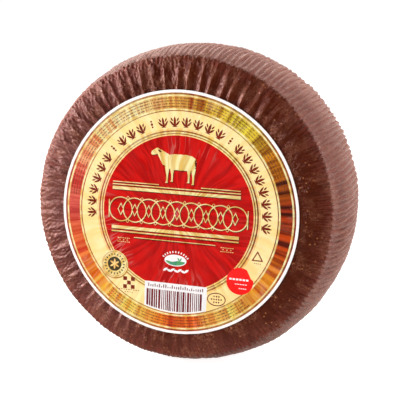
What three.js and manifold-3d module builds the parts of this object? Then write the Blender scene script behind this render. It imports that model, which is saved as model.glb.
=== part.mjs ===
// A wheel of hard sheep's cheese that stands on its rim, with a round printed label on its front face.
// Millimetres, +Z up. The origin is the middle of the flat spot that the wheel stands on, under the
// middle of the whole object. The wheel's axis runs along Y, and the label faces -Y.

import * as THREE from 'three';
import Module from 'manifold-3d';

// Driving dimensions of the wheel
const WHEEL_RADIUS = 93.5; // at the fullest part of the side
const WHEEL_THICKNESS = 92; // over the level parts of the two faces
const SIDE_BULGE = 7; // how far the side swells out beyond the shoulders
const SHOULDER_DROP = 4.4; // how far a shoulder lies behind the level part of its face
const SHOULDER_WIDTH = 15; // the sloping border between the level part and the shoulder
const FOOT_WIDTH = 26; // the flat spot on the rim, across the wheel

// The folds that the cheese cloth pressed into the rind
const FOLD_COUNT = 72; // around each face; the side has two ridges for each
const FACE_FOLD_DEPTH = 1.0;
const SIDE_FOLD_DEPTH = 0.6;
const HUB_RADIUS = 34; // the smooth middle of each face, where the folds begin

// The label
const LABEL_MARGIN = 2; // level rind left around the label
const LABEL_THICKNESS = 0.3;
const LABEL_GAP = 0.3; // between the folds' crests and the label
const LABEL_DROP = 1.6; // how far the label sits below the wheel's axis

// Shape of the curves, and how finely they are cut
const SHOULDER_CURVE = 2; // power of the slope from the level part down to the shoulder
const SIDE_CURVE = 2.6; // power of the side's bulge
const STEPS_PER_FOLD = 4;
const LABEL_STEPS = 96;

// Sizes that follow from the driving dimensions
const shoulderRadius = WHEEL_RADIUS - SIDE_BULGE;
const levelRadius = shoulderRadius - SHOULDER_WIDTH;
const labelRadius = levelRadius - LABEL_MARGIN;
const halfThickness = WHEEL_THICKNESS / 2;
const axisHeight = Math.sqrt(WHEEL_RADIUS ** 2 - (FOOT_WIDTH / 2) ** 2);
const wheelMiddleY = (LABEL_GAP + LABEL_THICKNESS) / 2;
const stepsAround = FOLD_COUNT * STEPS_PER_FOLD;

const rindMaterial = new THREE.MeshStandardMaterial({ color: 0x5c2818, roughness: 0.42, metalness: 0 });
const labelMaterial = new THREE.MeshStandardMaterial({ color: 0xc9461c, roughness: 0.3, metalness: 0.35 });

// Half of the wheel's profile, from the hub of a face out to the middle of the side. Each row has a
// radius, a depth behind the level of the face, and the share of each kind of fold that reaches it.
function halfProfile() {
  const rows = [
    { radius: HUB_RADIUS, depth: 0, faceFold: 0, sideFold: 0 },
    { radius: levelRadius, depth: 0, faceFold: 1, sideFold: 0 },
  ];
  for (const share of [0.5, 0.85]) {
    rows.push({
      radius: levelRadius + SHOULDER_WIDTH * share,
      depth: SHOULDER_DROP * share ** SHOULDER_CURVE,
      faceFold: 1 - share / 2,
      sideFold: 0,
    });
  }
  for (const share of [0.94, 0.66, 0.34, 0]) {
    rows.push({
      radius: WHEEL_RADIUS - SIDE_BULGE * share ** SIDE_CURVE,
      depth: halfThickness - (halfThickness - SHOULDER_DROP) * share,
      faceFold: 0,
      sideFold: 1 - share / 3,
    });
  }
  return rows;
}

// 0 on the crest of a fold and 1 at the bottom of the groove beside it.
function groove(turn, count) {
  return (1 - Math.cos(2 * Math.PI * turn * count)) / 2;
}

// One ring of points around the wheel's axis. The side is -1 for the front half and 1 for the back.
function ring(row, side) {
  const points = [];
  for (let step = 0; step < stepsAround; step += 1) {
    const turn = step / stepsAround;
    const faceCut = row.faceFold * FACE_FOLD_DEPTH * groove(turn, FOLD_COUNT);
    const sideCut = row.sideFold * SIDE_FOLD_DEPTH * groove(turn, 2 * FOLD_COUNT);
    const radius = row.radius - sideCut;
    const angle = 2 * Math.PI * turn;
    points.push(radius * Math.cos(angle), side * (halfThickness - row.depth - faceCut), radius * Math.sin(angle));
  }
  return points;
}

// The whole wheel as one closed skin: a fan on each face, and bands between the rings.
function wheelSkin() {
  const front = halfProfile();
  const back = front.slice(0, -1).reverse();
  const rings = [...front.map((row) => ring(row, -1)), ...back.map((row) => ring(row, 1))];
  const positions = [...rings.flat(), 0, -halfThickness, 0, 0, halfThickness, 0];
  const frontMiddle = rings.length * stepsAround;
  const backMiddle = frontMiddle + 1;
  const lastRing = (rings.length - 1) * stepsAround;
  const triangles = [];
  for (let step = 0; step < stepsAround; step += 1) {
    const next = (step + 1) % stepsAround;
    triangles.push(frontMiddle, step, next);
    triangles.push(backMiddle, lastRing + next, lastRing + step);
    for (let start = 0; start < lastRing; start += stepsAround) {
      const here = start + step;
      const beside = start + next;
      triangles.push(here, here + stepsAround, beside);
      triangles.push(beside, here + stepsAround, beside + stepsAround);
    }
  }
  const geometry = new THREE.BufferGeometry();
  geometry.setAttribute('position', new THREE.Float32BufferAttribute(positions, 3));
  geometry.setIndex(triangles);
  return geometry;
}

const wasm = await Module();
wasm.setup();

function toSolid(geometry) {
  return new wasm.Manifold(new wasm.Mesh({
    numProp: 3,
    vertProperties: new Float32Array(geometry.attributes.position.array),
    triVerts: new Uint32Array(geometry.index.array),
  }));
}

function toGeometry(solid) {
  const mesh = solid.getMesh();
  const geometry = new THREE.BufferGeometry();
  geometry.setAttribute('position', new THREE.Float32BufferAttribute(mesh.vertProperties, 3));
  geometry.setIndex([...mesh.triVerts]);
  return geometry;
}

// A plain block whose top lies in the plane of the flat spot, for cutting the foot.
function blockUnderFoot() {
  const size = 2 * WHEEL_RADIUS;
  const positions = [];
  for (const corner of [[-1, -1, -1], [1, -1, -1], [1, 1, -1], [-1, 1, -1],
    [-1, -1, 1], [1, -1, 1], [1, 1, 1], [-1, 1, 1]]) {
    positions.push(corner[0] * size, corner[1] * size, (corner[2] - 1) * size / 2 - axisHeight);
  }
  const geometry = new THREE.BufferGeometry();
  geometry.setAttribute('position', new THREE.Float32BufferAttribute(positions, 3));
  geometry.setIndex([0, 2, 1, 0, 3, 2, 4, 5, 6, 4, 6, 7, 0, 1, 5, 0, 5, 4,
    1, 2, 6, 1, 6, 5, 2, 3, 7, 2, 7, 6, 3, 0, 4, 3, 4, 7]);
  return geometry;
}

function makeWheel() {
  const solid = toSolid(wheelSkin()).subtract(toSolid(blockUnderFoot()));
  const geometry = toGeometry(solid);
  geometry.computeVertexNormals();
  const wheel = new THREE.Mesh(geometry, rindMaterial);
  wheel.name = 'cheese_wheel';
  wheel.position.set(0, wheelMiddleY, axisHeight);
  return wheel;
}

function makeLabel() {
  const profile = [
    new THREE.Vector2(0, 0),
    new THREE.Vector2(labelRadius, 0),
    new THREE.Vector2(labelRadius, LABEL_THICKNESS),
    new THREE.Vector2(0, LABEL_THICKNESS),
  ];
  const label = new THREE.Mesh(new THREE.LatheGeometry(profile, LABEL_STEPS), labelMaterial);
  label.name = 'label';
  const frontY = wheelMiddleY - halfThickness - LABEL_GAP - LABEL_THICKNESS;
  label.position.set(0, frontY, axisHeight - LABEL_DROP);
  return label;
}

const cheese = new THREE.Group();
cheese.add(makeWheel(), makeLabel());

export default cheese;
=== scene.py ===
import math
import random

import bpy
import numpy as np
from mathutils import Matrix, Vector, kdtree
from mathutils.geometry import delaunay_2d_cdt


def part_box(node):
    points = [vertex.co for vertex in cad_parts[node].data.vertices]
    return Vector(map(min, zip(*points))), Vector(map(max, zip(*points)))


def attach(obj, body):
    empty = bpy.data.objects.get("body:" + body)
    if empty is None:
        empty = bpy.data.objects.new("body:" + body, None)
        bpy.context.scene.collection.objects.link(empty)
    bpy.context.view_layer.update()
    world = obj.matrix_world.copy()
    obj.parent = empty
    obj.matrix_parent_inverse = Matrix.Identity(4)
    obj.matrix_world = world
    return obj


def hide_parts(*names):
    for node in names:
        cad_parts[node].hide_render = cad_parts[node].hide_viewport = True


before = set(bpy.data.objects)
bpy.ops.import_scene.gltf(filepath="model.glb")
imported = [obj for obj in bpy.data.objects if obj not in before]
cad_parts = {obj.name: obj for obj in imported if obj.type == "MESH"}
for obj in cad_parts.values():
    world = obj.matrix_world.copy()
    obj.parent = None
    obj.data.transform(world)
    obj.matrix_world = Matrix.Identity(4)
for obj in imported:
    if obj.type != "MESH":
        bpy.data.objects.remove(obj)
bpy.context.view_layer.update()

# ---------------------------------------------------------------- sizes, in metres, from the frame

MM = 0.001
wheel_low, wheel_high = (Vector(corner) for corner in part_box("cheese_wheel"))
label_low, label_high = (Vector(corner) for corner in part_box("label"))

wheel_radius = (wheel_high.x - wheel_low.x) / 2
half_thickness = (wheel_high.y - wheel_low.y) / 2
wheel_middle = Vector((0, (wheel_low.y + wheel_high.y) / 2, wheel_high.z - wheel_radius))
label_radius = (label_high.x - label_low.x) / 2
label_middle = Vector((0, label_low.y, (label_low.z + label_high.z) / 2))
paper_thickness = label_high.y - label_low.y

SIDE_BULGE = 7.0 * MM
SHOULDER_DROP = 4.4 * MM
SHOULDER_WIDTH = 15.0 * MM
SHOULDER_ROUNDING = 1.9 * MM
shoulder_radius = wheel_radius - SIDE_BULGE
level_radius = shoulder_radius - SHOULDER_WIDTH

FACE_FOLDS = 72
SIDE_RIDGES = 180
STEPS_AROUND = 6 * SIDE_RIDGES

FOLD_DEPTH = 1.35 * MM
RIDGE_DEPTH = 1.1 * MM
FACE_CRUMPLE = 0.13 * MM
SIDE_CRUMPLE = 0.08 * MM
LUMP_HEIGHT = 0.20 * MM
NOTCH_HEIGHT = 0.20 * MM

# The mesh rows along the outline lie this far apart.
FRONT_SPACING = 1.0 * MM
BACK_SPACING = 1.7 * MM
SIDE_SPACING = 3.0 * MM
UNDER_LABEL_SPACING = 16 * MM
BACK_MIDDLE_SPACING = 3.2 * MM

LABEL_TURN = math.radians(-2.3)
PAPER_EDGE = 0.995                  # of the label's radius
LABEL_GRID = 1.15 * MM

FOLD_RIPPLE = 0.16 * MM
LOOSE_RIPPLE = 0.05 * MM
SLACK_RIPPLE = 0.10 * MM

CAMERA_AZIMUTH = math.radians(16.72)
CAMERA_ELEVATION = math.radians(8.71)
CAMERA_DISTANCE = 7.598 * label_radius
AIM_RIGHT = 0.1847 * label_radius
AIM_UP = 0.1127 * label_radius
FLOOR_HALF = 12.0

WHITE = (1, 1, 1)
WARM = (1, 0.82, 0.74)


# ---------------------------------------------------------------- the relief in the rind

def swell(angle, along, turns, reach, count, seed):
    """A smooth random field, about -1 to 1, that closes on itself around the wheel."""
    draw = random.Random(seed)
    total = np.zeros_like(angle)
    for _ in range(count):
        around = draw.randint(*turns)
        outward = draw.uniform(-1, 1) * 2 * math.pi / reach
        total += np.cos(around * angle + outward * along + draw.uniform(0, 2 * math.pi))
    return total * math.sqrt(1 / count)


def fade(value, start, end):
    """0 up to start, 1 from end on, and smooth between them. start may be the higher one."""
    share = np.clip((value - start) / (end - start), 0, 1)
    return share * share * (3 - 2 * share)


def toward(angle, degrees, start, end):
    """1 in the given direction from the axis, fading to 0 away from it."""
    return fade(np.cos(angle - math.radians(degrees)), start, end)


def face_folds(angle, radius):
    """The flat-flanked folds that the cheese cloth pressed into a face: 0 in a groove, 1 on a crest."""
    slow = swell(angle, radius, turns=(2, 9), reach=0.09, count=14, seed=3)
    quick = swell(angle, radius, turns=(20, 60), reach=0.02, count=20, seed=4)
    wander = 1.3 * slow + 0.5 * quick
    return (0.5 + np.arcsin(0.96 * np.cos(FACE_FOLDS * angle + wander)) / math.pi) ** 1.7


def side_ridges(angle, y):
    """The finer, slightly slanted ridges that run across the side."""
    slow = swell(angle, y, turns=(3, 20), reach=0.12, count=14, seed=5)
    quick = swell(angle, y, turns=(30, 90), reach=0.03, count=20, seed=6)
    wander = 1.0 * slow + 0.9 * quick
    return (1 + np.cos(SIDE_RIDGES * (angle - 0.5 * y) + wander)) / 2


def fold_strength(angle):
    """Deep where the cloth lay in folds at the upper left, fainter below, and nearly flat at the right."""
    return 0.14 + 0.96 * toward(angle, 106, 0.1, 0.8) + 0.6 * toward(angle, 222, 0.3, 0.9)


def ridge_strength(angle, y, calm):
    """The side's ridges are steep low at the right, and start late behind the shoulder at the right."""
    steep = 0.9 * toward(angle, -44, 0.6, 0.95)
    uneven = 0.15 * swell(angle, y, turns=(2, 9), reach=0.15, count=10, seed=9)
    edge_band = fade(half_thickness - np.abs(y), 14 * MM, 6 * MM) * toward(angle, 18, 0.4, 0.9)
    return (calm + steep + uneven) * (1 - 0.65 * edge_band)


def rind_relief(angle, radius, y, seed):
    """How far the rind stands out from its smooth form, and how much of a crest each point is."""
    on_face = fade(radius, shoulder_radius + 0.8 * MM, shoulder_radius - 2.2 * MM)
    on_face = on_face * (np.abs(y) > half_thickness - 2 * SHOULDER_DROP)
    started = fade(radius, 8 * MM, 40 * MM)
    calm = 1 - 0.75 * toward(angle, 195, 0.0, 0.7)

    broken = 1 + 0.32 * swell(angle, radius, turns=(10, 80), reach=0.012, count=50, seed=7 + seed)
    toward_rim = 1 - 0.6 * fade(radius, shoulder_radius - 9 * MM, shoulder_radius - 3 * MM)
    strong = fold_strength(angle + 2 * seed) * broken * toward_rim
    folds = face_folds(angle + 0.7 * seed, radius)
    height = FOLD_DEPTH * (folds - 1) * strong * on_face * started

    ridges = side_ridges(angle, y)
    height += RIDGE_DEPTH * (ridges - 1) * ridge_strength(angle, y, calm) * (1 - on_face)

    crumple = swell(angle, radius + y, turns=(90, 300), reach=0.0032, count=90, seed=11 + seed)
    pebbled = 0.42 + 1.7 * toward(angle, 155, 0.0, 0.8)
    near_shoulder = fade(radius, shoulder_radius - 9 * MM, shoulder_radius - 2 * MM)
    height += FACE_CRUMPLE * crumple * (pebbled + calm * near_shoulder) * on_face * started
    height += SIDE_CRUMPLE * crumple * (1 - on_face)

    lumps = swell(angle, radius + y, turns=(2, 40), reach=0.04, count=40, seed=12 + seed)
    height += LUMP_HEIGHT * lumps * started

    notches = swell(angle, radius + y, turns=(140, 330), reach=0.012, count=60, seed=14 + seed)
    on_shoulder = fade(np.abs(radius - shoulder_radius), 4 * MM, 1 * MM)
    height += NOTCH_HEIGHT * calm * notches * on_shoulder

    crest = folds * strong * on_face + (1 - on_face) * ridges
    return height, np.clip(crest, 0, 1)


# ---------------------------------------------------------------- the wheel

def smooth_profile(step):
    """Points (radius, y) at even steps along the wheel's outline, from front middle to back middle."""
    share = np.linspace(0, 1, 400)
    level = np.stack([share * level_radius, np.zeros_like(share)])
    slope = np.stack([level_radius + SHOULDER_WIDTH * share, SHOULDER_DROP * share ** 2])
    side_half = half_thickness - SHOULDER_DROP
    side = np.stack([wheel_radius - SIDE_BULGE * (1 - share) ** 2.6, SHOULDER_DROP + side_half * share])
    half = np.concatenate([level[:, :-1], slope[:, :-1], side], axis=1)
    front = np.stack([half[0], half[1] - half_thickness])
    back = np.stack([half[0, ::-1], half_thickness - half[1, ::-1]])
    whole = np.concatenate([front, back[:, 1:]], axis=1)
    length = np.concatenate([[0], np.cumsum(np.hypot(*np.diff(whole, axis=1)))])
    even = np.arange(0, length[-1], step)
    sampled = np.stack([np.interp(even, length, whole[0]), np.interp(even, length, whole[1])])
    window = max(3, int(SHOULDER_ROUNDING / step) | 1)
    padded = np.pad(sampled, ((0, 0), (window // 2, window // 2)), mode="edge")
    kernel = np.ones(window) / window
    return np.stack([np.convolve(row, kernel, mode="valid") for row in padded])


def profile_rows():
    """The rows of the mesh along the outline: close together where the relief is fine."""
    step = 0.1 * MM
    radius, y = smooth_profile(step)
    on_side = np.abs(y) < half_thickness - 1.6 * SHOULDER_DROP
    under_label = (y < 0) & (radius < label_radius - 3 * MM)
    back_middle = (y > 0) & (radius < 0.75 * level_radius)
    spacing = np.where(y < 0, FRONT_SPACING, BACK_SPACING)
    spacing = np.where(on_side, SIDE_SPACING, spacing)
    spacing = np.where(under_label, UNDER_LABEL_SPACING, spacing)
    spacing = np.where(back_middle, BACK_MIDDLE_SPACING, spacing)
    wanted = np.cumsum(step / spacing)
    rows = np.searchsorted(wanted, np.arange(0.6, wanted[-1] - 0.4))
    along_r = np.gradient(radius)[rows]
    along_y = np.gradient(y)[rows]
    size = np.hypot(along_r, along_y)
    return radius[rows], y[rows], along_y / size, -along_r / size


def closed_skin(name, rings, poles):
    """A closed mesh from rings of points around an axis, with a pole closing each end."""
    rows, steps, _ = rings.shape
    points = np.concatenate([rings.reshape(-1, 3), poles])
    here = np.arange(steps)
    beside = (here + 1) % steps
    starts = np.arange(rows - 1)[:, None] * steps
    ends = starts + steps
    quads = np.stack([starts + here, ends + here, ends + beside, starts + beside], axis=2)
    last = (rows - 1) * steps
    first_fan = [(rows * steps, int(a), int(b)) for a, b in zip(here, beside)]
    last_fan = [(rows * steps + 1, int(last + b), int(last + a)) for a, b in zip(here, beside)]
    mesh = bpy.data.meshes.new(name)
    mesh.from_pydata(points.tolist(), [], quads.reshape(-1, 4).tolist() + first_fan + last_fan)
    mesh.shade_smooth()
    piece = bpy.data.objects.new(name, mesh)
    bpy.context.scene.collection.objects.link(piece)
    return piece


def add_wheel():
    radius, y, out_r, out_y = profile_rows()
    angle = np.arange(STEPS_AROUND) * 2 * math.pi / STEPS_AROUND
    radius, around = np.meshgrid(radius, angle, indexing="ij")
    y, out_r, out_y = (np.repeat(row[:, None], STEPS_AROUND, axis=1) for row in (y, out_r, out_y))
    front_height, front_crest = rind_relief(around, radius, y, 0)
    back_height, back_crest = rind_relief(around, radius, y, 1)
    behind = fade(y, -0.3 * half_thickness, 0.3 * half_thickness)
    height = front_height + (back_height - front_height) * behind
    crest = front_crest + (back_crest - front_crest) * behind
    far = radius + height * out_r
    rings = np.stack([far * np.cos(around), y + height * out_y, far * np.sin(around)], axis=2)
    rings += np.array(wheel_middle)
    rings[:, :, 2] = np.maximum(rings[:, :, 2], 0)
    to_back = Vector((0, half_thickness, 0))
    poles = np.array([wheel_middle - to_back, wheel_middle + to_back])
    wheel = closed_skin("coated_wheel", rings, poles)
    crests = wheel.data.attributes.new("crest", "FLOAT", "POINT")
    crests.data.foreach_set("value", np.concatenate([crest.ravel(), [1, 1]]))
    return wheel


# ---------------------------------------------------------------- outlines printed on the label
# Print is laid out in label radii, x to the right and z up, with 0,0 in the middle of the label.

def at(distance, angle, x=0.0, z=0.0):
    """The point at a distance and direction from x, z."""
    return (x + distance * math.cos(angle), z + distance * math.sin(angle))


def ellipse(x, z, wide, high=None, turn=0.0, steps=40):
    high = wide if high is None else high
    outline = []
    for step in range(steps):
        angle = 2 * math.pi * step / steps
        across, up = wide * math.cos(angle), high * math.sin(angle)
        outline.append((x + across * math.cos(turn) - up * math.sin(turn),
                        z + across * math.sin(turn) + up * math.cos(turn)))
    return outline


def leaf(x, z, length, width, turn, steps=9):
    """A pointed leaf that starts at x, z and points along turn."""
    edge = [(length * t, width / 2 * math.sin(math.pi * t) ** 0.9) for t in np.linspace(0, 1, steps)]
    outline = edge + [(a, -b) for a, b in edge[-2:0:-1]]
    return [(x + a * math.cos(turn) - b * math.sin(turn), z + a * math.sin(turn) + b * math.cos(turn))
            for a, b in outline]


def lozenge(x, z, wide, high):
    return [(x - wide, z), (x, z - high), (x + wide, z), (x, z + high)]


def bar(left, right, low, high):
    return [(left, low), (right, low), (right, high), (left, high)]


def arc_piece(start, end, inner, outer):
    """A short piece of a ring between two angles."""
    steps = max(2, int(abs(end - start) / 0.03) + 1)
    angles = np.linspace(start, end, steps)
    return [at(outer, a) for a in angles] + [at(inner, a) for a in angles[::-1]]


def rounded(points, between=5):
    """A closed smooth curve through the given points."""
    outline = []
    count = len(points)
    for here in range(count):
        p0, p1, p2, p3 = (Vector(points[(here + k) % count]) for k in (-1, 0, 1, 2))
        for step in range(between):
            t = step / between
            bend = 2 * p0 - 5 * p1 + 4 * p2 - p3
            twist = 3 * p1 - p0 - 3 * p2 + p3
            outline.append(tuple(0.5 * (2 * p1 + (p2 - p0) * t + bend * t * t + twist * t ** 3)))
    return outline


def moved(outline, x, z):
    return [(a + x, b + z) for a, b in outline]


class Sheet:
    """The printed sheet: each ink is laid over the ones before it."""

    def __init__(self):
        self.prints = []

    def lay(self, ink, outline):
        """Keeps an outline, turned anticlockwise so that its inside is known."""
        beside = outline[1:] + outline[:1]
        area = sum(a * d - c * b for (a, b), (c, d) in zip(outline, beside))
        self.prints.append((ink, outline if area > 0 else outline[::-1]))

    def ring(self, ink, radius):
        self.lay(ink, ellipse(0, 0, radius, steps=360))

    def dashes(self, ink, left, low, count, pitch, size):
        """A row of equal dashes."""
        for start in (left + pitch * number for number in range(count)):
            self.lay(ink, bar(start, start + size[0], low, low + size[1]))


def print_rings(sheet):
    for radius, ink in (
            (PAPER_EDGE, "paper"), (0.973, "bronze"), (0.958, "gold"), (0.944, "foil"),
            (0.848, "gold"), (0.834, "bronze"), (0.826, "cream"), (0.690, "pale_gold"),
            (0.674, "bronze"), (0.662, "gold"), (0.651, "bronze"), (0.643, "pale_gold"), (0.633, "red")):
        sheet.ring(ink, radius)


def print_wreath(sheet):
    """A frieze of leaf fans on short bars, with three groups of dots between them."""
    start, end, count = math.radians(187.5), math.radians(-8), 26
    foot, top = 0.702, 0.786
    step = (end - start) / count
    for number in range(count):
        angle = start + step * (number + 0.5)
        if number in (6, 10, 17):
            for away, size in ((0.722, 0.008), (0.744, 0.011), (0.768, 0.008)):
                sheet.lay("dark_ink", ellipse(*at(away, angle), size, steps=10))
            continue
        stem = at(foot, angle)
        sheet.lay("dark_ink", arc_piece(angle - 0.028, angle + 0.028, foot - 0.002, foot + 0.004))
        sheet.lay("dark_ink", leaf(*stem, top - foot, 0.022, angle))
        for side in (-1, 1):
            sheet.lay("dark_ink", leaf(*stem, 0.066, 0.017, angle + side * 0.72))
            beside = at(0.744, angle + side * 0.022)
            sheet.lay("dark_ink", leaf(*beside, 0.036, 0.013, angle + side * 0.5))


def fleece(x, z, wide, high, curls):
    """An oval with a curly edge."""
    outline = []
    for angle in np.linspace(0, 2 * math.pi, 8 * curls, endpoint=False):
        out = 1 + 0.035 * abs(math.sin(curls * angle / 2)) - 0.06 * math.cos(4 * angle)
        outline.append((x + wide * out * math.cos(angle), z + high * out * math.sin(angle)))
    return outline


def leg(x, top, foot):
    """A slim leg that widens into the fleece above and ends in a hoof."""
    knee = (top + foot) / 2
    return [(x - 0.020, top), (x - 0.007, knee), (x - 0.006, foot + 0.014), (x - 0.014, foot),
            (x + 0.008, foot), (x + 0.007, foot + 0.018), (x + 0.009, knee), (x + 0.020, top)]


def print_sheep(sheet):
    """A plain sheep that stands and looks to the left."""
    head = rounded([(-0.236, 0.478), (-0.226, 0.498), (-0.204, 0.513), (-0.182, 0.524), (-0.164, 0.514),
                    (-0.162, 0.494), (-0.180, 0.476), (-0.204, 0.468), (-0.226, 0.466)], 4)
    neck = [(-0.184, 0.478), (-0.168, 0.510), (-0.150, 0.510), (-0.085, 0.478), (-0.085, 0.372),
            (-0.136, 0.392), (-0.160, 0.436)]
    hooves = ((-0.096, 0.246), (-0.054, 0.258), (0.086, 0.258), (0.124, 0.246))
    pieces = [leg(x, 0.376, foot) for x, foot in hooves]
    pieces += [neck, head, fleece(0.012, 0.418, 0.138, 0.066, 18)]
    for outline in pieces:
        sheet.lay("shade", moved(outline, 0.006, -0.007))
    for outline in pieces:
        sheet.lay("gold", outline)
    sheet.lay("shade", leaf(-0.178, 0.508, 0.036, 0.015, math.radians(-30)))
    sheet.lay("shade", leaf(0.136, 0.452, 0.070, 0.012, math.radians(-84)))


def print_rules(sheet):
    """The gold bars above and below the nameplate, each with a dark edge."""
    for left, right, middle, height in (
            (-0.557, -0.163, 0.226, 0.007), (0.193, 0.517, 0.226, 0.007),
            (-0.560, 0.520, 0.204, 0.009), (-0.560, 0.520, 0.174, 0.026),
            (-0.560, 0.520, -0.152, 0.027), (-0.560, 0.520, -0.185, 0.011),
            (-0.364, 0.330, -0.227, 0.006)):
        low, high = middle - height / 2, middle + height / 2
        sheet.lay("shade", bar(left + 0.003, right + 0.006, low - 0.007, high - 0.004))
        sheet.lay("gold", bar(left, right, low, high))


def circle_line(x, z, radius, thickness):
    """The outlines of a thin ring, in two halves that meet."""
    halves = []
    for start in (0, math.pi):
        angles = np.linspace(start, start + math.pi, 30)
        outer = [at(radius + thickness / 2, a, x, z) for a in angles]
        inner = [at(radius - thickness / 2, a, x, z) for a in angles]
        halves.append(outer + inner[::-1])
    return halves


def lozenge_line(x, z, wide, high, thickness):
    """The outlines of a thin lozenge, in two halves that meet."""
    grown = 1 + thickness / wide
    outside, inside = lozenge(0, 0, wide * grown, high * grown), lozenge(0, 0, wide, high)
    upper = [outside[0], inside[0], inside[3], inside[2], outside[2], outside[3]]
    lower = [(a, -b) for a, b in upper]
    return [moved(upper, x, z), moved(lower, x, z)]


def print_nameplate(sheet):
    """A chain of thin linked rings with lozenges in and between them."""
    count, pitch = 9, 0.121
    first = -pitch * (count - 1) / 2
    end_bar = 0.586
    lines = []
    for number in range(count):
        x = first + pitch * number
        lines += circle_line(x, 0, 0.099, 0.0085)
        lines += lozenge_line(x, 0, 0.020, 0.040, 0.007)
    for number in range(count - 1):
        x = first + pitch * (number + 0.5)
        for side in (-1, 1):
            lines += lozenge_line(x, side * 0.096, 0.010, 0.010, 0.005)
    for side in (-1, 1):
        lines.append(bar(side * end_bar - 0.004, side * end_bar + 0.004, -0.075, 0.075))
    for line in lines:
        sheet.lay("shade", moved(line, 0.0055, -0.0055))
    for line in lines:
        sheet.lay("gold", line)


def print_emblem(sheet):
    """A white oval with a green sprig on a hill, a bow of beads above it and a wave of leaves below."""
    x, z = 0.0, -0.384
    sheet.lay("white_ink", ellipse(x, z, 0.094, 0.048, steps=48))
    below = np.linspace(math.pi * 1.06, math.pi * 1.94, 16)
    hill = [(x + 0.086 * math.cos(a), z + 0.041 * math.sin(a)) for a in below]
    crown = [(x + 0.07, z - 0.006), (x + 0.02, z - 0.001), (x - 0.03, z - 0.014), (x - 0.07, z - 0.004)]
    sheet.lay("green_ink", hill + crown)
    for side in (-1, 1):
        sheet.lay("green_ink", leaf(x + 0.035, z - 0.004, 0.034, 0.013, math.pi / 2 + side * 0.55))
    beads = 11
    for number in range(beads):
        angle = math.radians(148 - 116 * number / (beads - 1))
        bead = (x + 0.122 * math.cos(angle), z - 0.022 + 0.092 * math.sin(angle))
        sheet.lay("white_ink", ellipse(*bead, 0.0095, 0.0055, angle, 8))
    for number in range(7):
        raised = number % 2
        start = (x + (number - 3) * 0.030 - 0.014, z - 0.094 + 0.016 * raised)
        sheet.lay("white_ink", leaf(*start, 0.048, 0.019, 0.6 - raised))


def print_code(sheet):
    """A white box with upright stripes of random widths, and a row of short ticks above them."""
    def floor_at(x, radius):
        return -math.sqrt(radius * radius - x * x)
    left, right, top = -0.257, 0.275, -0.578
    bottom = [(x, floor_at(x, 0.824)) for x in np.linspace(left, right, 14)]
    sheet.lay("white_ink", bottom + [(right, top), (left, top)])
    draw = random.Random(12)
    stripe_top, stripe_end, stripe_foot = -0.640, 0.226, 0.812
    x = -0.240
    while x < stripe_end:
        width = draw.choice((0.007, 0.008, 0.012, 0.018))
        low = [(x, floor_at(x, stripe_foot)), (x + width, floor_at(x + width, stripe_foot))]
        sheet.lay("stripe_ink", low + [(x + width, stripe_top), (x, stripe_top)])
        x += width + draw.choice((0.0055, 0.0055, 0.009))
    tick_foot = -0.622
    for number in range(26):
        spot = -0.227 + 0.0185 * number
        tall = draw.choice((0.012, 0.020, 0.028))
        sheet.lay("stripe_ink", bar(spot, spot + 0.008, tick_foot, tick_foot + tall))


def print_medal(sheet):
    """A gold disc with a fine rim, a ring of small ovals, and a six-leafed star on a dark middle."""
    x, z = -0.527, -0.465
    sheet.lay("bronze", ellipse(x + 0.004, z - 0.006, 0.119, steps=64))
    for ink, radius in (("gold", 0.116), ("bronze", 0.107), ("gold", 0.104)):
        sheet.lay(ink, ellipse(x, z, radius, steps=64))
    ovals, leaves = 20, 6
    for number in range(ovals):
        angle = 2 * math.pi * number / ovals
        sheet.lay("olive_ink", ellipse(*at(0.082, angle, x, z), 0.010, 0.0055, angle, 8))
    sheet.lay("olive_ink", ellipse(x, z, 0.060, steps=40))
    for number in range(leaves):
        sheet.lay("pale_gold", leaf(x, z, 0.046, 0.016, (number + 0.5) * 2 * math.pi / leaves))


def print_checked_square(sheet, x, z):
    square = 0.034
    for across in range(3):
        for up in range(3):
            if (across + up) % 2 == 0:
                left, low = x - 0.052 + square * across, z - 0.050 + square * up
                sheet.lay("dark_ink", bar(left, left + 0.033, low, low + 0.033))
    sheet.dashes("dark_ink", x - 0.09, z - 0.062, 9, 0.021, (0.012, 0.006))
    sheet.dashes("dark_ink", x - 0.036, z - 0.082, 4, 0.02, (0.010, 0.005))


def print_red_spot(sheet, x, z):
    """A red disc with one flattened side, and three rows of white dashes."""
    spot = [at(0.111, a, x, z) for a in np.linspace(1.05, 0.12 + 2 * math.pi, 60)]
    sheet.lay("bright_red", spot + [(x + 0.088, z + 0.030), (x + 0.074, z + 0.060)])
    for row, (start, length, thick) in enumerate(
            ((-0.088, 0.166, 0.015), (-0.040, 0.104, 0.006), (-0.006, 0.066, 0.006))):
        count = 6 - row
        pitch = length / count
        low = z + 0.006 - 0.034 * row
        sheet.dashes("white_ink", x + start, low, count, pitch, (0.74 * pitch, thick))


def print_oval(sheet, x, z):
    """An empty oval with three rows of small lozenges."""
    sheet.lay("dark_ink", ellipse(x, z, 0.078, 0.056, steps=48))
    sheet.lay("cream", ellipse(x, z, 0.070, 0.048, steps=48))
    for up, count in ((0.024, 3), (0.0, 5), (-0.024, 3)):
        for number in range(count):
            across = 0.020 * (number - (count - 1) / 2)
            sheet.lay("dark_ink", lozenge(x + across, z + up, 0.008, 0.009))


def print_triangle(sheet, x, z):
    corners = [at(0.056, math.radians(degrees), x, z) for degrees in (90, 210, 330)]
    sheet.lay("dark_ink", corners)
    sheet.lay("cream", [(x + (a - x) * 0.66, z + (b - z) * 0.66) for a, b in corners])
    sheet.dashes("dark_ink", x - 0.028, z - 0.05, 4, 0.016, (0.010, 0.005))


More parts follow.
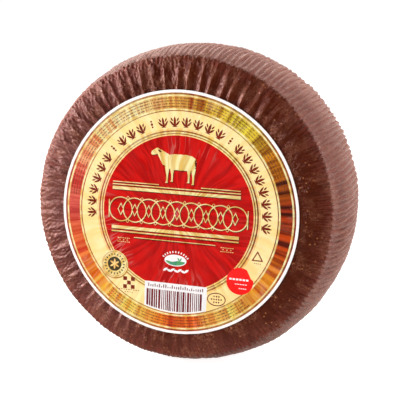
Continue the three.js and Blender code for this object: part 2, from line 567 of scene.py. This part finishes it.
def print_marks(sheet):
    """The small marks around the lower half of the label."""
    print_checked_square(sheet, -0.395, -0.612)
    print_red_spot(sheet, 0.544, -0.498)
    print_oval(sheet, 0.357, -0.669)
    print_triangle(sheet, 0.679, -0.293)
    for middle in (-0.45, 0.43):
        left = middle - 0.056
        for low, start, count, pitch in (
                (-0.242, left, 7, 0.016), (-0.258, left + 0.016, 3, 0.032), (-0.274, left, 7, 0.016)):
            sheet.dashes("gold", start, low, count, pitch, (0.010, 0.006))


def print_fine_lines(sheet):
    """Broken lines of tiny dashes around the foil band."""
    draw = random.Random(8)
    for start, end, radii in (
            (174, 16, (0.930, 0.908, 0.886, 0.864)), (-129, -49, (0.930, 0.907, 0.884, 0.861))):
        way = 1 if end > start else -1
        for radius in radii:
            angle = math.radians(start)
            while way * (math.radians(end) - angle) > 0:
                length = draw.choice((0.008, 0.014, 0.022, 0.034))
                tall = draw.choice((0.0026, 0.0034, 0.0042))
                stop = angle + way * length / radius
                sheet.lay("fine_ink", arc_piece(angle, stop, radius - tall, radius + tall))
                angle = stop + way * draw.choice((0.004, 0.006, 0.010)) / radius


# ---------------------------------------------------------------- the label

def label_ripple(angle, radius):
    """How far the folds under the paper push it out, at a point in label radii from its middle."""
    metres = radius * label_radius
    folds = face_folds(angle, metres) - 0.5
    begin = fade(radius, 0.12, 0.75)
    loose = swell(angle, metres, turns=(10, 60), reach=0.03, count=40, seed=21) * fade(radius, 0.05, 0.5)
    slack = swell(angle, metres, turns=(1, 7), reach=0.06, count=16, seed=22)
    return FOLD_RIPPLE * folds * begin + LOOSE_RIPPLE * loose + SLACK_RIPPLE * slack


def even_points(spacing):
    """A triangular grid of points over the label, kept clear of its rim."""
    points = []
    rows = int(1 / (spacing * 0.866)) + 1
    for row in range(-rows, rows + 1):
        z = row * spacing * 0.866
        for column in range(-rows - 2, rows + 3):
            x = (column + 0.5 * (row % 2)) * spacing
            if math.hypot(x, z) < PAPER_EDGE - 0.01:
                points.append((x, z))
    return points


def label_layout():
    sheet = Sheet()
    for lay_out in (print_rings, print_wreath, print_fine_lines, print_sheep, print_rules,
                    print_nameplate, print_emblem, print_code, print_medal, print_marks):
        lay_out(sheet)
    return sheet.prints


def cut_sheet(prints):
    """Cuts the sheet along every printed outline. Returns points, triangles and each triangle's ink."""
    points, outlines = [], []
    for _, outline in prints:
        outlines.append(list(range(len(points), len(points) + len(outline))))
        points.extend(outline)
    tree = kdtree.KDTree(len(points))
    for number, (x, z) in enumerate(points):
        tree.insert((x, z, 0), number)
    tree.balance()
    spacing = LABEL_GRID / label_radius
    filling = [p for p in even_points(spacing) if tree.find((p[0], p[1], 0))[2] > 0.45 * spacing]
    flat = [Vector(p) for p in points + filling]
    cut = delaunay_2d_cdt(flat, [], outlines, 0, 1e-6, True)
    corners, triangles, owners = cut[0], cut[2], cut[5]
    inks = [prints[max(owner)][0] if owner else prints[0][0] for owner in owners]
    return corners, triangles, inks


def add_label(materials):
    corners, triangles, inks = cut_sheet(label_layout())
    flat = np.array([tuple(c) for c in corners])
    radius = np.hypot(flat[:, 0], flat[:, 1])
    angle = np.arctan2(flat[:, 1], flat[:, 0])
    turned = angle + LABEL_TURN
    rise = label_ripple(turned, radius)
    metres = radius * label_radius
    front = np.stack([metres * np.cos(turned), -rise, metres * np.sin(turned)], axis=1)
    front += np.array(label_middle)
    rim = [int(n) for n in np.flatnonzero(radius > PAPER_EDGE - 1e-4)]
    rim.sort(key=lambda n: angle[n])
    back = front[rim] + np.array((0, paper_thickness, 0))
    points = np.concatenate([front, back, [label_middle + Vector((0, 1.2 * paper_thickness, 0))]])
    behind = {n: len(front) + place for place, n in enumerate(rim)}
    centre = len(points) - 1
    faces = [tuple(t) for t in triangles]
    slots = [materials.index_of(ink) for ink in inks]
    for here, beside in zip(rim, rim[1:] + rim[:1]):
        faces.append((here, behind[here], behind[beside], beside))
        faces.append((behind[here], centre, behind[beside]))
        slots += [materials.index_of("paper")] * 2
    mesh = bpy.data.meshes.new("printed_label")
    mesh.from_pydata(points.tolist(), [], faces)
    for material in materials.all:
        mesh.materials.append(material)
    mesh.polygons.foreach_set("material_index", slots)
    mesh.shade_smooth()
    mesh.set_sharp_from_angle(angle=math.radians(50))
    label = bpy.data.objects.new("printed_label", mesh)
    bpy.context.scene.collection.objects.link(label)
    return label


# ---------------------------------------------------------------- shader building

class Nodes:
    """Adds shader nodes to one tree, and joins them as they are added."""

    def __init__(self, tree):
        self.tree = tree

    def add(self, kind, inputs=None, **settings):
        node = self.tree.nodes.new("ShaderNode" + kind)
        for name, value in settings.items():
            setattr(node, name, value)
        for name, value in (inputs or {}).items():
            self.feed(node.inputs[name], value)
        return node

    def feed(self, socket, value):
        if isinstance(value, bpy.types.NodeSocket):
            self.tree.links.new(value, socket)
        else:
            socket.default_value = value

    def math(self, operation, *values):
        node = self.add("Math", operation=operation)
        for socket, value in zip(node.inputs, values):
            self.feed(socket, value)
        return node.outputs[0]

    def plus(self, first, second):
        return self.math("ADD", first, second)

    def minus(self, first, second):
        return self.math("SUBTRACT", first, second)

    def times(self, first, second):
        return self.math("MULTIPLY", first, second)

    def mix(self, share, first, second):
        node = self.add("Mix", data_type="RGBA", blend_type="MIX")
        self.feed(node.inputs[0], share)
        self.feed(node.inputs[6], first)
        self.feed(node.inputs[7], second)
        return node.outputs[2]

    def between(self, value, low, high, to_low=0.0, to_high=1.0):
        """Maps value from low..high to to_low..to_high, smoothly and held at both ends."""
        node = self.add("MapRange", interpolation_type="SMOOTHSTEP")
        for socket, number in zip(node.inputs, (value, low, high, to_low, to_high)):
            self.feed(socket, number)
        return node.outputs[0]

    def ramp(self, value, stops):
        """A colour for each place along value, from (place, colour) pairs."""
        node = self.add("ValToRGB", {"Fac": value})
        elements = node.color_ramp.elements
        while len(elements) < len(stops):
            elements.new(0.5)
        for element, (place, _) in zip(elements, stops):
            element.position = place
        for element, (_, colour) in zip(elements, stops):
            element.color = colour
        return node.outputs[0]

    def noise(self, vector, scale, detail=2.0, roughness=0.5):
        return self.noise_node(vector, scale, detail, roughness).outputs["Fac"]

    def noise_node(self, vector, scale, detail, roughness=0.5):
        settings = {"Vector": vector, "Scale": scale, "Detail": detail, "Roughness": roughness}
        return self.add("TexNoise", settings)

    def cells(self, vector, scale, feature="F1"):
        node = self.add("TexVoronoi", {"Vector": vector, "Scale": scale}, feature=feature)
        return node.outputs["Distance"]


def tone(red, green, blue):
    """A shader colour from the numbers of a colour chart, 0 to 255."""
    def linear(value):
        value = value / 255
        return value / 12.92 if value <= 0.04045 else ((value + 0.055) / 1.055) ** 2.4
    return (linear(red), linear(green), linear(blue), 1.0)


def new_group(name, inputs, outputs):
    """A shader node group with named inputs and outputs. Returns its builder, entry and exit nodes."""
    tree = bpy.data.node_groups.new(name, "ShaderNodeTree")
    for label, kind, value in inputs:
        socket = tree.interface.new_socket(label, in_out="INPUT", socket_type=kind)
        socket.default_value = value
    for label, kind in outputs:
        tree.interface.new_socket(label, in_out="OUTPUT", socket_type=kind)
    build = Nodes(tree)
    entry = tree.nodes.new("NodeGroupInput")
    leave = tree.nodes.new("NodeGroupOutput")
    return build, entry, leave


def use_group(build, group, inputs):
    node = build.add("Group", node_tree=bpy.data.node_groups[group])
    for name, value in inputs.items():
        build.feed(node.inputs[name], value)
    return node


def make_streaks_group():
    """Noise drawn out away from the wheel's axis on a face, and along the axis on the side."""
    build, entry, leave = new_group(
        "outward_streaks",
        [("Around", "NodeSocketFloat", 30.0), ("Outward", "NodeSocketFloat", 40.0),
         ("Detail", "NodeSocketFloat", 2.0), ("Sway", "NodeSocketFloat", 0.0)],
        [("Mask", "NodeSocketFloat")])
    place = build.add("TexCoord").outputs["Object"]
    sway = build.noise_node(place, 38.0, 1.0).outputs["Color"]
    sway = build.add("VectorMath", {0: sway, 1: (0.5, 0.5, 0.5)}, operation="SUBTRACT").outputs[0]
    scaled = build.add("VectorMath", {0: sway}, operation="SCALE")
    build.feed(scaled.inputs["Scale"], entry.outputs["Sway"])
    place = build.add("VectorMath", {0: place, 1: scaled.outputs[0]}, operation="ADD").outputs[0]
    split = build.add("SeparateXYZ", {"Vector": place})
    x, y = split.outputs["X"], split.outputs["Y"]
    z = build.minus(split.outputs["Z"], wheel_middle.z)
    radius = build.math("SQRT", build.plus(build.times(x, x), build.times(z, z)))
    radius = build.math("MAXIMUM", radius, 0.001)
    around = entry.outputs["Around"]
    first = build.times(build.math("DIVIDE", x, radius), around)
    second = build.times(build.math("DIVIDE", z, radius), around)
    third = build.times(build.plus(radius, y), entry.outputs["Outward"])
    vector = build.add("CombineXYZ", {"X": first, "Y": second, "Z": third}).outputs[0]
    mask = build.noise(vector, 1.0, entry.outputs["Detail"])
    build.feed(leave.inputs["Mask"], mask)


def streak_mask(build, around, outward, detail, sway=0.0):
    settings = {"Around": around, "Outward": outward, "Detail": detail, "Sway": sway}
    return use_group(build, "outward_streaks", settings).outputs["Mask"]


# Painted reflections of the studio in the metallic foil, laid in as base colour that changes around the
# label.
FOIL_REFLECTION_TONES = (
    # degrees around the label, the painted reflection where the foil shines, the painted shade where a
    # fold turns it away
    (-180, (236, 100, 86), (180, 34, 32)), (-158, (252, 128, 60), (212, 54, 20)),
    (-140, (255, 192, 60), (228, 108, 16)), (-118, (255, 241, 112), (236, 158, 44)),
    (-100, (255, 146, 40), (206, 52, 8)), (-80, (250, 112, 26), (192, 36, 6)),
    (-62, (255, 238, 116), (204, 96, 22)), (-40, (255, 176, 42), (198, 72, 8)),
    (-20, (232, 84, 12), (108, 28, 4)), (6, (172, 48, 8), (50, 12, 2)),
    (30, (228, 146, 28), (112, 40, 5)), (54, (252, 232, 70), (158, 112, 20)),
    (76, (240, 182, 62), (154, 58, 10)), (94, (255, 212, 104), (192, 64, 20)),
    (116, (255, 250, 196), (238, 192, 108)), (138, (255, 230, 152), (228, 110, 54)),
    (158, (255, 144, 110), (224, 64, 52)), (180, (236, 100, 86), (180, 34, 32)))


def make_foil_reflection_group():
    """Painted reflection and shade as the foil's colour: it changes slowly around the label and quickly
    from fold to fold.
    """
    build, entry, leave = new_group(
        "painted_foil_reflection", [("Brightness", "NodeSocketFloat", 1.0)], [("Color", "NodeSocketColor")])
    split = build.add("SeparateXYZ", {"Vector": build.add("TexCoord").outputs["Object"]})
    z = build.minus(split.outputs["Z"], label_middle.z)
    turned = build.math("ARCTAN2", z, split.outputs["X"])
    drift = streak_mask(build, 5.0, 9.0, 2.0)
    streaks = streak_mask(build, 22.0, 16.0, 5.0)
    place = build.plus(build.times(turned, 0.5 / math.pi), 0.5)
    place = build.plus(place, build.times(build.minus(drift, 0.5), 0.06))
    place = build.math("FRACT", place)
    shining = build.ramp(place, [((turn + 180) / 360, tone(*bright)) for turn, bright, _ in FOIL_REFLECTION_TONES])
    turned_away = build.ramp(place, [((turn + 180) / 360, tone(*deep)) for turn, _, deep in FOIL_REFLECTION_TONES])
    mixed = build.mix(build.between(streaks, 0.32, 0.66), turned_away, shining)
    colour = build.add("VectorMath", {0: mixed}, operation="SCALE")
    build.feed(colour.inputs["Scale"], entry.outputs["Brightness"])
    build.feed(leave.inputs["Color"], colour.outputs[0])


def make_paper_group():
    """Paper pressed over the folds below it: its height, a faint mottle, and a few sharp creases."""
    build, entry, leave = new_group(
        "printed_paper", [("Cockle", "NodeSocketFloat", 1.0)],
        [("Height", "NodeSocketFloat"), ("Mottle", "NodeSocketFloat"), ("Crease", "NodeSocketFloat")])
    place = build.add("TexCoord").outputs["Object"]
    wide = build.noise(place, 130.0, 3.0)
    fine = build.noise(place, 900.0, 2.0)
    patches = build.noise(place, 34.0, 2.0)
    streaks = streak_mask(build, 20.0, 50.0, 1.5, 0.012)
    folds = streak_mask(build, 14.0, 46.0, 1.5, 0.015)
    ridge = build.between(build.math("ABSOLUTE", build.minus(folds, 0.5)), 0.055, 0.0)
    crease = build.times(ridge, build.between(patches, 0.50, 0.66))
    height = build.plus(build.times(wide, 1.1), build.times(fine, 0.03))
    height = build.plus(height, build.times(streaks, 0.8))
    height = build.plus(height, build.times(crease, 0.35))
    build.feed(leave.inputs["Height"], build.times(height, entry.outputs["Cockle"]))
    build.feed(leave.inputs["Mottle"], wide)
    build.feed(leave.inputs["Crease"], crease)


def new_material(name):
    material = bpy.data.materials.new(name)
    material.use_nodes = True
    build = Nodes(material.node_tree)
    shader = material.node_tree.nodes["Principled BSDF"]
    return material, build, shader


def make_rind():
    """Dark brown cheese coating: satin and leathery, redder between the side's ridges, with painted shade
    in its grooves, a painted sheen and painted glints.
    """
    material, build, shader = new_material("brown_rind")
    place = build.add("TexCoord").outputs["Object"]
    crest = build.add("Attribute", attribute_name="crest").outputs["Fac"]
    split = build.add("SeparateXYZ", {"Vector": place})
    from_middle = build.math("ABSOLUTE", split.outputs["Y"])
    on_side = build.between(from_middle, half_thickness, half_thickness - 5 * MM)
    streaks = streak_mask(build, 34.0, 28.0, 3.0)
    fine_streaks = streak_mask(build, 110.0, 70.0, 2.0)
    blotch = build.noise(place, 42.0, 3.0)
    grain = build.noise(place, 700.0, 3.0, 0.6)
    pores = build.cells(place, 620.0)
    stretch = build.noise_node(place, 160.0, 2.0).outputs["Color"]
    uneven = {0: place, 1: stretch, 2: (0.004, 0.004, 0.004)}
    uneven = build.add("VectorMath", uneven, operation="MULTIPLY_ADD").outputs[0]
    wrinkles = build.cells(uneven, 210.0, "DISTANCE_TO_EDGE")

    # painted shade: the rind is darker in the grooves and lighter on the crests
    colour = build.mix(build.between(crest, 0.0, 0.9), tone(78, 25, 4), tone(94, 33, 7))
    colour = build.mix(build.between(streaks, 0.5, 0.75, 0.0, 0.3), colour, tone(108, 44, 18))
    colour = build.mix(build.between(blotch, 0.55, 0.3, 0.0, 0.4), colour, tone(70, 24, 6))

    # redder in the troughs of the side
    trough = build.times(build.between(crest, 0.55, 0.1), on_side)
    trough = build.times(trough, build.between(fine_streaks, 0.42, 0.60, 0.1, 0.9))
    colour = build.mix(trough, colour, tone(126, 44, 26))

    # a painted mauve sheen: paler where light would shine off the coating at the left and low down, weaker
    # on the side
    left_and_low = build.math("MAXIMUM", build.between(split.outputs["X"], 0.01, -0.075),
                       build.between(split.outputs["Z"], 0.045, 0.0, 0.0, 0.3))
    painted_sheen = build.times(left_and_low, build.between(blotch, 0.3, 0.6, 0.35, 0.75))
    painted_sheen = build.times(painted_sheen, build.minus(1.0, build.times(on_side, 0.7)))
    colour = build.mix(painted_sheen, colour, tone(124, 71, 66))

    # lighter fringes, painted glints along fine cracks and in small specks, and a dark grain over all
    fringe = build.between(blotch, 0.4, 0.6, 0.0, 0.35)
    fringe = build.times(build.between(fine_streaks, 0.54, 0.66), fringe)
    colour = build.mix(fringe, colour, tone(108, 43, 14))
    # painted glints: pale lines along the fine cracks
    cracked = build.between(build.noise(place, 90.0, 2.0), 0.48, 0.60, 0.0, 0.7)
    crack_glints = build.times(build.between(wrinkles, 0.13, 0.02), cracked)
    colour = build.mix(crack_glints, colour, tone(136, 82, 58))
    # painted glints: sparse pale specks
    glint_specks = build.between(build.cells(place, 360.0), 0.22, 0.10)
    rare = build.between(build.noise(place, 120.0, 2.0), 0.48, 0.60, 0.0, 0.8)
    colour = build.mix(build.times(glint_specks, rare), colour, tone(180, 112, 66))
    colour = build.mix(build.between(grain, 0.50, 0.32, 0.0, 0.35), colour, tone(50, 15, 3))
    build.feed(shader.inputs["Base Color"], colour)

    rough = build.between(grain, 0.3, 0.7, 0.15, 0.27)
    # the coating is rougher where the sheen is painted
    rough = build.plus(rough, build.times(painted_sheen, 0.14))
    rough = build.plus(rough, build.times(trough, 0.35))
    build.feed(shader.inputs["Roughness"], rough)
    relief = build.plus(build.times(grain, 0.5), build.times(pores, 0.3))
    relief = build.minus(relief, build.times(build.between(wrinkles, 0.10, 0.0), 0.35))
    bump = build.add("Bump", {"Strength": 0.42, "Distance": 0.0006, "Height": relief})
    build.feed(shader.inputs["Normal"], bump.outputs[0])
    shader.inputs["Specular IOR Level"].default_value = 0.65
    shader.inputs["Specular Tint"].default_value = (1.0, 0.60, 0.54, 1)
    return material


class Inks:
    """The label's inks, each a material, in the order that they were made."""

    def __init__(self):
        self.all = []
        self.names = []

    def keep(self, name, material):
        self.names.append(name)
        self.all.append(material)

    def index_of(self, name):
        return self.names.index(name)


def make_ink(name, colour, second, metal, rough, foil, crease, cockle):
    """An ink that drifts between two tones in streaks over the folds below, partly painted light and
    shade.

    foil is how much of the foil, with its painted reflections, shows through it, crease how strongly a
    painted highlight lightens it along a crease, and cockle how strongly its surface follows the paper's.
    """
    material, build, shader = new_material("print_" + name)
    paper = use_group(build, "printed_paper", {"Cockle": cockle})
    # partly painted light and shade: streaks mix the two tones, as crumpled print catches and loses the
    # light
    streaks = streak_mask(build, 14.0, 44.0, 2.0, 0.016)
    mixed = build.mix(build.between(streaks, 0.32, 0.68), colour, second)
    if foil:
        # the foil's painted reflections show through this ink by its foil share
        below = use_group(build, "painted_foil_reflection", {"Brightness": 0.9 + 0.1 * foil})
        mixed = build.mix(foil, mixed, below.outputs["Color"])
    # painted highlight: along a crease the ink turns pale pink, as where a fold catches the light
    pale = build.mix(0.55, mixed, tone(255, 226, 210))
    mixed = build.mix(build.times(paper.outputs["Crease"], crease), mixed, pale)
    build.feed(shader.inputs["Base Color"], mixed)
    roughness = build.between(paper.outputs["Mottle"], 0.3, 0.7, rough * 0.8, rough * 1.2)
    build.feed(shader.inputs["Roughness"], roughness)
    bump = build.add("Bump", {"Strength": 0.42, "Distance": 0.0005, "Height": paper.outputs["Height"]})
    build.feed(shader.inputs["Normal"], bump.outputs[0])
    shader.inputs["Metallic"].default_value = metal
    return material


def make_inks():
    inks = Inks()
    # name, one tone, the other tone, metallic, roughness, foil, crease, cockle; the two tones mix in
    # streaks that partly paint light and shade on the crumpled print
    for name, colour, second, *finish in (
            ("paper", (250, 246, 245), (246, 241, 240), 0.0, 0.35, 0.0, 0.1, 0.7),
            ("cream", (252, 226, 164), (250, 214, 138), 0.0, 0.22, 0.0, 0.3, 1.0),
            ("pale_gold", (255, 234, 168), (246, 196, 110), 0.0, 0.22, 0.25, 0.2, 1.0),
            ("bronze", (140, 62, 26), (100, 40, 14), 0.1, 0.3, 0.4, 0.1, 1.0),
            ("red", (208, 10, 3), (168, 3, 0), 0.0, 0.18, 0.0, 0.32, 1.3),
            ("shade", (92, 12, 3), (70, 8, 2), 0.0, 0.25, 0.0, 0.3, 1.3),
            ("dark_ink", (128, 38, 14), (112, 28, 10), 0.0, 0.25, 0.0, 0.1, 1.0),
            ("stripe_ink", (122, 34, 40), (104, 22, 34), 0.0, 0.25, 0.0, 0.1, 0.8),
            ("fine_ink", (92, 30, 6), (74, 22, 4), 0.0, 0.3, 0.2, 0.1, 1.0),
            ("white_ink", (243, 240, 239), (238, 234, 234), 0.0, 0.25, 0.0, 0.1, 0.8),
            ("green_ink", (96, 168, 88), (60, 140, 110), 0.0, 0.25, 0.0, 0.1, 0.8),
            ("olive_ink", (58, 52, 30), (74, 64, 36), 0.0, 0.3, 0.0, 0.1, 0.8),
            ("bright_red", (250, 22, 16), (246, 18, 14), 0.0, 0.2, 0.0, 0.1, 0.6),
            ("foil", (255, 255, 255), (255, 255, 255), 0.2, 0.24, 1.0, 0.2, 1.2),
            ("gold", (255, 248, 186), (232, 190, 96), 0.1, 0.2, 0.12, 0.2, 1.2)):
        inks.keep(name, make_ink(name, tone(*colour), tone(*second), *finish))
    return inks


# ---------------------------------------------------------------- stage, lights and camera

def add_floor():
    """A pale floor. In reflections it is bright only behind the wheel, so it doesn't veil the print."""
    mesh = bpy.data.meshes.new("floor")
    corners = [(x * FLOOR_HALF, y * FLOOR_HALF, 0) for x, y in ((-1, -1), (1, -1), (1, 1), (-1, 1))]
    mesh.from_pydata(corners, [], [(0, 1, 2, 3)])
    material, build, shader = new_material("pale_floor")
    shader.inputs["Roughness"].default_value = 0.9
    shader.inputs["Specular IOR Level"].default_value = 0.1
    way = build.add("SeparateXYZ", {"Vector": build.add("TexCoord").outputs["Object"]})
    rays = build.add("LightPath")
    in_mirror = rays.outputs["Is Glossy Ray"]
    pale = build.mix(in_mirror, (0.6, 0.6, 0.6, 1), (0.05, 0.05, 0.05, 1))
    build.feed(shader.inputs["Base Color"], pale)
    glow = build.times(in_mirror, build.between(way.outputs["Y"], -0.16, 0.1, 0.0, 1.35))
    seen = build.times(rays.outputs["Is Camera Ray"], 0.90)
    around = build.times(rays.outputs["Is Diffuse Ray"], 0.55)
    build.feed(shader.inputs["Emission Strength"], build.plus(build.plus(glow, seen), around))
    build.feed(shader.inputs["Emission Color"], build.mix(in_mirror, (1, 1, 1, 1), (1, 0.76, 0.67, 1)))
    mesh.materials.append(material)
    floor = bpy.data.objects.new("floor", mesh)
    bpy.context.scene.collection.objects.link(floor)


def direction(azimuth, elevation):
    """The way out from the wheel: azimuth 0 is in front of the label, and grows to the right."""
    level = math.cos(elevation)
    return Vector((math.sin(azimuth) * level, -math.cos(azimuth) * level, math.sin(elevation)))


def add_softbox(name, azimuth, elevation, distance, width, height, power, colour=WHITE):
    """A soft rectangular light aimed at the wheel."""
    light = bpy.data.lights.new(name, "AREA")
    light.shape = "RECTANGLE"
    light.size = width
    light.size_y = height
    light.energy = power
    light.color = colour
    lamp = bpy.data.objects.new(name, light)
    bpy.context.scene.collection.objects.link(lamp)
    outward = direction(math.radians(azimuth), math.radians(elevation))
    lamp.location = wheel_middle + outward * distance
    lamp.rotation_euler = outward.to_track_quat("Z", "Y").to_euler()


def add_surroundings():
    """White to the camera. In reflections, bright behind the wheel and at the left, and dark in front."""
    world = bpy.data.worlds.new("studio")
    bpy.context.scene.world = world
    world.use_nodes = True
    build = Nodes(world.node_tree)
    background = world.node_tree.nodes["Background"]
    way = build.add("SeparateXYZ", {"Vector": build.add("TexCoord").outputs["Generated"]})
    rays = build.add("LightPath")
    in_mirror = rays.outputs["Is Glossy Ray"]
    build.feed(background.inputs["Color"], build.mix(in_mirror, (1, 1, 1, 1), (1, 0.63, 0.55, 1)))
    behind = build.between(way.outputs["Y"], 0.1, 0.6, 0.0, 1.2)
    leftward = build.between(way.outputs["X"], -0.45, -0.90, 0.0, 2.7)
    glow = build.times(build.plus(behind, leftward), in_mirror)
    around = build.times(rays.outputs["Is Diffuse Ray"], 0.62)
    seen = build.times(rays.outputs["Is Camera Ray"], 1.05)
    build.feed(background.inputs["Strength"], build.plus(build.plus(glow, around), seen))


def add_camera():
    back = direction(CAMERA_AZIMUTH, CAMERA_ELEVATION)
    right = Vector((math.cos(CAMERA_AZIMUTH), math.sin(CAMERA_AZIMUTH), 0))
    up = back.cross(right)
    camera = bpy.data.cameras.new("camera")
    camera.lens = 85.0
    camera.sensor_width = 36.0
    camera.clip_start = 0.02
    camera.clip_end = 60
    holder = bpy.data.objects.new("camera", camera)
    bpy.context.scene.collection.objects.link(holder)
    holder.matrix_world = Matrix((right, up, back)).transposed().to_4x4()
    holder.location = label_middle + AIM_RIGHT * right + AIM_UP * up + CAMERA_DISTANCE * back
    bpy.context.scene.camera = holder


# ---------------------------------------------------------------- the scene

bpy.context.scene.view_settings.view_transform = "Standard"
add_camera()
add_floor()
add_surroundings()
add_softbox("key", -72, 8, 1.1, 0.7, 1.0, 20)
add_softbox("right", 108, 14, 1.2, 0.8, 1.0, 8)
add_softbox("back", 150, 50, 1.3, 1.0, 0.8, 3, WARM)
add_softbox("back_left", -150, 40, 1.3, 1.0, 0.8, 5, WARM)

make_streaks_group()
make_paper_group()
make_foil_reflection_group()

wheel = add_wheel()
wheel.data.materials.append(make_rind())
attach(wheel, "root")
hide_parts("cheese_wheel")

label = add_label(make_inks())
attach(label, "root")
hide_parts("label")

bpy.context.view_layer.update()
